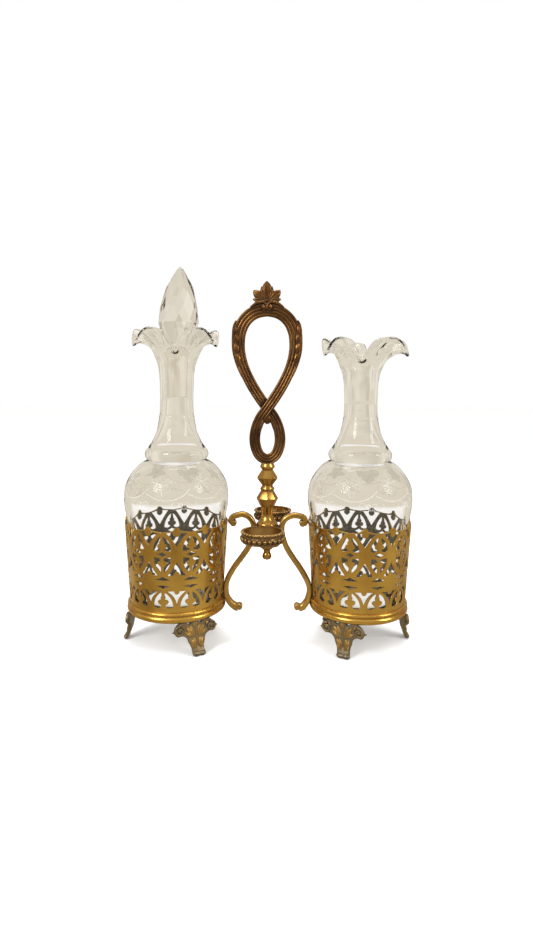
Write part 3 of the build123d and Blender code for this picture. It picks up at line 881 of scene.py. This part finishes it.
def handle_shape():
    """Figure-eight strap whose strands pass in front of and behind each other, with its leaves."""
    half = [(0, 230.9), (6.8, 229.6), (12.2, 226.6), (16.4, 221.8), (18.9, 215.8),
            (19.7, 209.5), (19.4, 202.4), (17.5, 194.1), (14.2, 185.8), (9.9, 177.5),
            (4.9, 169.6), (0, CROSSING_Z), (-4.9, 155.6), (-8.0, 147.8), (-8.8, 139.8),
            (-7.2, 132.8), (-4.2, 128.6), (0, 127.0)]
    path = half + [(-x, z) for x, z in reversed(half[1:-1])]
    line = smooth_curve(path + [path[0]], 321)[:-1]
    points, widths = [], []
    for k, (x, z) in enumerate(line):
        near = math.exp(-((z - CROSSING_Z) / 9.0) ** 2)
        strand = -1.5 if k < len(line) / 2 else 1.5
        points.append((x, strand * near, z))
        top_share = min(1.0, max(0.0, (z - 188) / 30))
        widths.append(1.0 + 0.22 * top_share)
    shape = sweep(points, reeded_section(7.6, 4.4, 4), widths=widths, closed=True)
    for side in (-1, 1):
        shape.add_shape(volute(side))
        for face in (-1, 1):
            leaves = [((22.4, 211.5), (22.2, 221.0), 4.2), ((20.4, 206.0), (22.4, 215.0), 4.2),
                      ((20.4, 199.0), (22.2, 208.6), 4.4), ((19.0, 191.5), (21.4, 201.6), 4.0)]
            for (x0, z0), (x1, z1), width in leaves:
                shape.add_shape(leaf_blade((side * x0, face * 1.5, z0),
                                           (side * x1, face * 1.7, z1),
                                           width, 1.5, (side * 0.5, face, 0), fullness=1.3))
            shape.add_shape(leaf_blade((side * 7.2, face * 1.8, 142.4),
                                       (side * 2.4, face * 2.2, 156.6),
                                       2.6, 1.3, (0, face, 0), fullness=1.3))
        tail = smooth_curve([(side * 21.2, 0, 223.2), (side * 22.8, 0, 219.6),
                             (side * 23.4, 0, 211.0), (side * 23.0, 0, 202.0),
                             (side * 20.8, 0, 193.0), (side * 17.6, 0, 184.4)], 36)
        taper = [math.sin(math.pi * (0.10 + 0.88 * k / 35)) ** 0.5 for k in range(36)]
        shape.add_shape(sweep(tail, rounded_box_section(2.2, 4.8, 1.0), widths=taper))
    for face in (-1, 1):
        shape.add_shape(leaf_blade((0, face * 1.2, 151.8), (0, face * 1.8, 159.6),
                                   6.0, 2.0, (0, face, 0), fullness=0.9))
    shape.points = leaned(shape.points)
    return shape


def volute(side):
    """Outer rib of the strap, which rises over the top and curls into a ball at the middle."""
    points = [(side * 11.4, 0, 232.2), (side * 7.4, 0, 235.0), (side * 4.4, 0, 235.6)]
    for k in range(5):
        angle = math.radians(80 - 42 * k)
        radius = 3.4 - 0.22 * k
        points.append((side * (3.3 - radius * math.cos(angle)), 0,
                       232.4 + radius * math.sin(angle)))
    line = smooth_curve(points, 60)
    widths = [0.75 + 0.35 * math.sin(math.pi * min(1.0, k / 45)) for k in range(60)]
    shape = sweep(line, rounded_box_section(1.8, 6.6, 0.85), widths=widths)
    shape.add_shape(ball((side * 2.5, 0, 232.2), 2.35, (1, 2.0, 1.1), 24, 14))
    return shape


def palmette_shape():
    """Five broad leaves fanned over the top of the loop, front and back."""
    shape = Shape()
    base_z = 236.2
    fan = [(0, 0, 14.0, 7.2, 1.35), (-0.6, -17, 10.8, 4.4, 1.2), (0.6, 17, 10.8, 4.4, 1.2),
           (-1.5, -46, 11.0, 6.0, 1.35), (1.5, 46, 11.0, 6.0, 1.35),
           (-1.5, -80, 8.6, 3.8, 1.1), (1.5, 80, 8.6, 3.8, 1.1)]
    for face in (-1, 1):
        for x, angle, length, width, fullness in fan:
            a = math.radians(angle)
            start = (x, 0, base_z + 0.4)
            tip = (x + math.sin(a) * length, 0, base_z + 0.4 + math.cos(a) * length)
            shape.add_shape(leaf_blade(start, tip, width, 1.8, (0, face, 0), 0.3, fullness))
    shape.add_shape(ball((0, 0, base_z + 0.6), 2.4, (2.0, 0.7, 0.8)))
    shape.points = leaned(shape.points)
    return shape


def build_handle():
    make_piece("reeded_handle", handle_shape(), "stand", BRONZED,
               sharp=60, nodes=("handle_loop",))
    make_piece("palmette", palmette_shape(), "stand", BRONZED,
               sharp=60, nodes=("palmette_finial",))


# ---- glass ----
def bottle_profiles():
    """Outer and inner (radius, height) lines from the base to the start of the lip."""
    heel = [(0.0, FLOOR_TOP), (20.0, FLOOR_TOP), (27.6, FLOOR_TOP)]
    heel += circle_arc(heel[-1], (30.0, 26.5), (30.9, 28.6), 6)
    body = smooth_curve([(30.9, 28.6), (32.2, 50.0), (33.6, 72.0), (34.5, 86.0), (35.9, 95.0),
                         (36.2, 101.0), (35.7, 107.7), (34.6, 111.3), (32.6, 115.3),
                         (30.1, 119.0), (27.0, 122.6), (24.0, 124.9), (21.2, 126.4)], 90)
    bead = smooth_curve([(20.7, 127.0), (21.6, 128.4), (22.1, 130.6), (21.6, 132.8),
                         (20.0, 135.2), (18.2, 137.6), (16.9, 139.6)], 16)
    neck = smooth_curve([(16.9, 139.6), (14.8, 144.2), (13.5, 148.2), (12.7, 152.4),
                         (12.15, 155.6), (12.35, 156.5), (11.85, 157.4), (11.6, 161.0),
                         (11.4, 168.0), (11.5, 176.0),
                         (11.8, 184.0), (12.4, 189.5), (13.3, 193.6), (14.8, 197.4)], 80)
    outer = heel + [tuple(p) for p in body] + [tuple(p) for p in bead]
    outer += [tuple(p) for p in neck[1:]]
    inside = smooth_curve([(7.3, 168.0), (7.7, 160.0), (8.6, 154.0), (10.2, 148.5),
                           (12.4, 143.5), (14.6, 139.0), (16.6, 134.8), (17.9, 131.0),
                           (18.6, 127.0), (20.2, 124.4), (23.6, 122.2), (27.8, 118.2),
                           (31.0, 113.4),
                           (33.2, 107.6), (33.9, 101.0), (33.5, 95.0), (32.2, 86.0),
                           (31.3, 72.0), (29.9, 50.0), (28.6, 34.5), (27.2, 31.4),
                           (23.5, 30.4), (12.0, 30.2)], 120)
    bore = smooth_curve([(8.9, 197.4), (8.3, 194.0), (8.1, 190.0), (7.8, 182.0),
                         (7.5, 175.0), (7.3, 168.0)], 26)
    inner = [tuple(p) for p in bore[1:]] + [tuple(p) for p in inside[1:]] + [(0.0, 30.2)]
    return outer, inner


def lobe_share(angle, notches):
    """0 at a notch of the lip, 1 in the middle of a lobe."""
    for start, end in zip(notches, notches[1:] + [notches[0] + 360]):
        turn = (math.degrees(angle) - start) % 360
        if turn < end - start:
            return (1 - math.cos(math.tau * turn / (end - start))) / 2
    return 0.0


def lip_grid(notches, drop, columns, rows):
    """Outside of the crimped lip as rows of points, from the neck to the rim.

    Each column is a Bezier curve. The rim is low at a notch, high on the shoulders of a lobe,
    and rolls over and down in the middle of the lobe.
    """
    angles = np.arange(columns) * math.tau / columns
    share = np.array([lobe_share(a, notches) for a in angles])
    start = np.array([[14.8], [197.4 - drop]]) * np.ones(columns)
    reach = share * (1.45 - 0.45 * share)
    crest = 1 - (2 * share - 1) ** 4
    end = np.array([16.2 + 14.3 * reach, 203.2 + 1.0 * share - drop + 10.8 * crest])
    roll = np.radians(86 - 138 * share ** 2)
    chord = np.linalg.norm(end - start, axis=0)
    leave = start + 0.36 * chord * np.array([[0.35], [0.94]])
    arrive = end - 0.34 * chord * np.array([np.cos(roll), np.sin(roll)])
    grid = []
    for t in np.linspace(0, 1, rows):
        radius, height = ((1 - t) ** 3 * start + 3 * (1 - t) ** 2 * t * leave
                          + 3 * (1 - t) * t ** 2 * arrive + t ** 3 * end)
        grid.append(np.column_stack([radius * np.cos(angles), radius * np.sin(angles), height]))
    return np.array(grid)


def grid_normals(grid):
    along = np.gradient(grid, axis=0)
    around = (np.roll(grid, -1, axis=1) - np.roll(grid, 1, axis=1)) / 2
    normal = np.cross(around, along)
    return normal / np.linalg.norm(normal, axis=2)[:, :, None]


def lowered(profile, drop):
    """Profile whose upper neck is pushed down, for a bottle with a shorter neck."""
    return [(r, z - drop * min(1.0, max(0.0, (z - 150) / 40))) for r, z in profile]


def bottle_shape(centre, notches, drop):
    """Outside up to the lip, over its round rim, and down the inside, as one closed skin."""
    columns, lip_rows = 168, 26
    outer, inner = (lowered(line, drop) for line in bottle_profiles())
    lip = lip_grid(notches, drop, columns, lip_rows)
    normal = grid_normals(lip)
    share = np.linspace(1, 0, lip_rows)[:, None, None]
    thickness = 2.2 + 3.7 * share ** 2.2
    inside_lip = lip - normal * thickness
    inside_lip[0, :, 2] = 197.4 - drop
    outside_step = lip[-1] - lip[-2]
    out_unit = outside_step / np.linalg.norm(outside_step, axis=1)[:, None]
    rim = []
    for inward, proud in ((0.07, 0.45), (0.25, 0.85), (0.5, 1.0), (0.75, 0.85), (0.93, 0.45)):
        rim.append(lip[-1] * (1 - inward) + inside_lip[-1] * inward + out_unit * proud)
    rows = [circle_points(r, z, columns) for r, z in outer]
    rows += list(lip[1:]) + rim + list(inside_lip[::-1][:-1])
    rows += [circle_points(r, z, columns) for r, z in inner]
    points = np.vstack(rows) + np.array([centre.x, centre.y, 0])
    return Shape(points, grid_faces(len(rows), columns, close_columns=True))


def stopper_shape(centre):
    """Spire with diamond facets between rings of eight corners, on a ground plug."""
    sides = 8
    levels = [(1.6, 258.6, 0), (3.4, 256.2, 0), (9.4, 245.6, 0), (13.0, 232.4, 1),
              (14.0, 221.0, 0), (8.6, 206.4, 1), (6.2, 203.6, 1)]
    points = [(0, 0, 259.6)]
    for radius, z, turned in levels:
        points += circle_points(radius, z, sides, start=turned * math.pi / sides)
    faces = [(0, 1 + k, 1 + (k + 1) % sides) for k in range(sides)]
    for level in range(len(levels) - 1):
        upper, lower = 1 + level * sides, 1 + (level + 1) * sides
        same = levels[level][2] == levels[level + 1][2]
        ahead = levels[level][2] < levels[level + 1][2]
        for k in range(sides):
            k2 = (k + 1) % sides
            if same:
                faces.append((upper + k, upper + k2, lower + k2, lower + k))
            elif ahead:
                faces.append((upper + k, lower + k, upper + k2))
                faces.append((lower + k, lower + k2, upper + k2))
            else:
                faces.append((upper + k, lower + k, lower + k2))
                faces.append((upper + k, lower + k2, upper + k2))
    faces.append(tuple(1 + (len(levels) - 1) * sides + k for k in range(sides)))
    lean, aside, plug_top = 0.032, 0.8, 204
    return Shape([(centre.x + x + aside + lean * (z - plug_top), centre.y + y, z)
                  for x, y, z in points], faces)


def plug_shape(centre):
    profile = [(0.0, 170.0), (6.4, 170.0), (7.1, 170.6), (7.75, 189.5), (7.9, 196.0),
               (8.0, 200.2), (6.9, 203.0), (5.4, 204.2), (0.0, 204.2)]
    return lathe(profile, 64, (centre.x, centre.y), closed=False)


def engraving(centre, start_angle):
    """Vine leaves, and the tendrils between them, laid on the shoulder of a bottle."""
    outer, _ = bottle_profiles()
    radii, heights = zip(*[(r, z) for r, z in outer if z > 30])
    leaves, lines = Shape(), Shape()
    skin = 0.06          # height of the frosted sheets above the glass
    reach = 35.0         # radius that turns a distance round the shoulder into an angle

    def on_glass(angle, z, lift=skin):
        radius = float(np.interp(z, heights, radii)) + lift
        return (centre.x + radius * math.cos(angle), centre.y + radius * math.sin(angle), z)

    def leaf(angle, z, size, turn, lobes):
        count = 72
        points = []
        for share in (0.0, 0.25, 0.5, 0.75, 1.0):
            for k in range(count):
                t = math.tau * k / count
                r = share * size * (0.74 + 0.20 * math.cos(lobes * t)
                                    + 0.05 * math.cos(3 * lobes * t))
                x, y = r * math.cos(t + turn), 0.72 * r * math.sin(t + turn)
                points.append(on_glass(angle + x / reach, z + y))
        leaves.add(points, grid_faces(5, count, close_columns=True))
        for k in range(lobes):
            t = math.tau * k / lobes + turn
            line([(angle, z), (angle + 0.35 * size * math.cos(t) / reach,
                               z + 0.27 * size * math.sin(t)),
                  (angle + 0.75 * size * math.cos(t + 0.12) / reach,
                   z + 0.54 * size * math.sin(t + 0.12))], 0.28)

    def line(points_az, width=0.30):
        path = smooth_curve(points_az, 60)
        left, right = [], []
        for (a, z), (da, dz) in zip(path, np.gradient(path, axis=0)):
            length = math.hypot(da * reach, dz)
            nx, nz = -dz / length * width / 2, da * reach / length * width / 2
            left.append(on_glass(a + nx / reach, z + nz, 2 * skin))
            right.append(on_glass(a - nx / reach, z - nz, 2 * skin))
        lines.add(left + right, grid_faces(2, len(left)))

    repeats = 8
    for k in range(repeats):
        angle = start_angle + (k - 0.25) * math.tau / repeats
        odd = k % 2
        leaf(angle, 112.8 + 2.8 * odd, 11.4 - 1.6 * odd, 0.5 + 2.1 * k, 3 + 2 * odd)
        for side in (-1, 1):
            curl = []
            for step in range(26):
                t = step / 25
                turn = side * 2.2 * math.tau * t + k
                size = 3.2 * (1 - 0.55 * t)
                curl.append((angle + side * 0.22 + (8 * side * t + size * math.cos(turn)) / reach,
                             100.5 + size * math.sin(turn)))
            line(curl)
        line([(angle - 0.30, 108.0), (angle - 0.05, 104.6), (angle + 0.15, 104.2),
              (angle + 0.36, 106.4), (angle + 0.52, 111.0)], 0.42)
    return leaves, lines


def build_glass():
    mouths = {"left": (LEFT, [-86, 37, 157], 0.0), "right": (RIGHT, [-99, 57, 160], 5.5)}
    for name, (centre, notches, drop) in mouths.items():
        body = f"{name}_bottle_body"
        make_piece(f"{name}_blown_bottle", bottle_shape(centre, notches, drop), body,
                   GLASS, sharp=60, nodes=(f"{name}_bottle",))
        leaves, lines = engraving(centre, math.radians(notches[0]))
        make_piece(f"{name}_ground_leaves", leaves, body, FROST, sharp=60)
        make_piece(f"{name}_etched_lines", lines, body, ETCH, sharp=60)
    make_piece("stopper_spire", stopper_shape(LEFT), "stopper_body", CUT_GLASS,
               sharp=8, nodes=("left_stopper",))
    make_piece("stopper_plug", plug_shape(LEFT), "stopper_body", CUT_GLASS,
               sharp=40)


# ---- stage ----
CAMERA_PLACE = Vector((-0.4937, -396.4697, 174.9852))
ROOM_BEIGE = (0.74, 0.69, 0.585, 1)
DIM_BEIGE = (0.62, 0.57, 0.475, 1)
BRIGHT_BEIGE = (0.86, 0.82, 0.72, 1)


def ray(tree, kind):
    return tree.nodes.new("ShaderNodeLightPath").outputs[f"Is {kind} Ray"]


def studio_world():
    """White backdrop; reflections see a dim warm room with windows and dark wood, glass sees
    a beige wall."""
    world = bpy.data.worlds.new("studio")
    world.use_nodes = True
    tree = world.node_tree
    where = tree.nodes.new("ShaderNodeTexCoord")
    parts = tree.nodes.new("ShaderNodeSeparateXYZ")
    tree.links.new(where.outputs["Generated"], parts.inputs[0])
    patches = new_node(tree, "ShaderNodeTexNoise", Vector=where.outputs["Generated"],
                       Scale=2.6, Detail=2.0)
    height = remap(tree, parts.outputs["Z"], -0.3, 0.9)
    wall = mix_colour(tree, height, (0.16, 0.10, 0.06, 1), (0.80, 0.76, 0.70, 1))
    light = remap(tree, patches.outputs["Fac"], 0.52, 0.68)
    room = mix_colour(tree, light, wall, (1.0, 0.96, 0.88, 1))
    beside = arithmetic(tree, "ABSOLUTE", parts.outputs["X"], 0.0)
    wood = arithmetic(tree, "MULTIPLY", remap(tree, beside, 0.74, 0.88),
                      remap(tree, parts.outputs["Y"], 0.05, 0.30))
    room = mix_colour(tree, wood, room, (0.30, 0.075, 0.035, 1))
    beyond = mix_colour(tree, remap(tree, patches.outputs["Fac"], 0.40, 0.60),
                        DIM_BEIGE, BRIGHT_BEIGE)
    colour = mix_colour(tree, ray(tree, "Glossy"), (1, 1, 1, 1), room)
    colour = mix_colour(tree, ray(tree, "Transmission"), colour, beyond)
    tree.links.new(colour, tree.nodes["Background"].inputs[0])
    return world


def paper_material():
    """White paper; reflections see a painted dim patchy glow in its place. Through glass it shows a
    painted white glow where the sight line goes nearly straight on behind the stand, and a painted
    glow in the beige of the wall elsewhere."""
    material, tree, surface = new_material("paper")
    grain = remap(tree, noise(tree, 240, 3), 0.3, 0.7, 0.90, 0.94)
    value_input(tree, surface.inputs["Base Color"], grain)
    surface.inputs["Roughness"].default_value = 0.9
    surface.inputs["Emission Color"].default_value = (1, 1, 1, 1)
    surface.inputs["Emission Strength"].default_value = 0.10
    # painted reflection: glossy rays see this dim patchy glow instead of the lit paper
    patches = remap(tree, noise(tree, 5, 2), 0.35, 0.65)
    dim = new_node(tree, "ShaderNodeEmission", Color=mix_colour(
        tree, patches, (0.34, 0.28, 0.20, 1), (0.66, 0.62, 0.54, 1)))
    # painted glow seen through glass: white along the straight sight line, beige elsewhere
    geometry = tree.nodes.new("ShaderNodeNewGeometry")
    to_camera = vector_math(tree, "SUBTRACT", CAMERA_PLACE * MM, geometry.outputs["Position"])
    unit = vector_math(tree, "NORMALIZE", to_camera.outputs[0])
    agreement = vector_math(tree, "DOT_PRODUCT", unit.outputs[0], geometry.outputs["Incoming"])
    sight = tree.nodes.new("ShaderNodeSeparateXYZ")
    tree.links.new(geometry.outputs["Incoming"], sight.inputs[0])
    straight = arithmetic(tree, "MULTIPLY",
                          remap(tree, agreement.outputs["Value"], 0.9965, 0.9985),
                          remap(tree, sight.outputs["Z"], 0.196, 0.212))
    seen = new_node(tree, "ShaderNodeEmission",
                    Color=mix_colour(tree, straight, ROOM_BEIGE, (1.0, 1.0, 1.0, 1)))
    reflected = layer_shader(tree, surface.outputs[0], ray(tree, "Glossy"), dim)
    layer_shader(tree, reflected, ray(tree, "Transmission"), seen)
    return material


def build_stage():
    """Pale floor and backdrop under soft studio light."""
    scene = bpy.context.scene
    scene.world = studio_world()
    mesh = bpy.data.meshes.new("floor")
    size = 6.0
    corners = [(-1, -1), (1, -1), (1, 1), (-1, 1)]
    mesh.from_pydata([(size * x, size * y, 0) for x, y in corners], [], [(0, 1, 2, 3)])
    mesh.materials.append(paper_material())
    floor = bpy.data.objects.new("floor", mesh)
    scene.collection.objects.link(floor)

    def lamp(name, place, target, size, power):
        data = bpy.data.lights.new(name, "AREA")
        data.shape = "RECTANGLE"
        data.size, data.size_y = size
        data.energy = power
        light = bpy.data.objects.new(name, data)
        scene.collection.objects.link(light)
        light.location = place
        aim = Vector(target) - Vector(place)
        light.rotation_euler = aim.to_track_quat("-Z", "Y").to_euler()
        light.visible_transmission = False

    lamp("window", (-0.7, -0.8, 0.75), (0, 0, 0.12), (0.35, 0.5), 9)
    lamp("fill", (0.9, -0.5, 0.6), (0, 0, 0.12), (0.3, 0.5), 5)
    lamp("top", (0.0, 0.2, 1.1), (0, 0, 0.1), (0.6, 0.6), 7)

    scene.view_settings.view_transform = "Standard"
    scene.view_settings.look = "None"


def build_camera():
    """Camera at the angle of the photo, a little to the left of the stem and above it."""
    yaw, pitch, roll = 0.0025, 0.0509, 0.0063          # radians
    place = CAMERA_PLACE * MM
    right0 = Vector((math.cos(yaw), math.sin(yaw), 0))
    level = Vector((-math.sin(yaw), math.cos(yaw), 0))
    forward = level * math.cos(pitch) - Vector((0, 0, math.sin(pitch)))
    up0 = level * math.sin(pitch) + Vector((0, 0, math.cos(pitch)))
    right = right0 * math.cos(roll) + up0 * math.sin(roll)
    up = up0 * math.cos(roll) - right0 * math.sin(roll)
    data = bpy.data.cameras.new("camera")
    data.sensor_fit = "VERTICAL"
    data.sensor_height = 36.0
    data.lens = 21.602
    data.shift_y = -0.05737
    camera = bpy.data.objects.new("camera", data)
    bpy.context.scene.collection.objects.link(camera)
    camera.matrix_world = Matrix((
        (right.x, up.x, -forward.x, place.x),
        (right.y, up.y, -forward.y, place.y),
        (right.z, up.z, -forward.z, place.z),
        (0, 0, 0, 1)))
    bpy.context.scene.camera = camera


LEFT_SEAM, RIGHT_SEAM = 4.35, 181.9
build_basket("left", LEFT, LEFT_SEAM)
build_basket("right", RIGHT, RIGHT_SEAM)
build_feet()
build_arms()
build_rings()
build_stem()
build_handle()
build_glass()
build_stage()
build_camera()
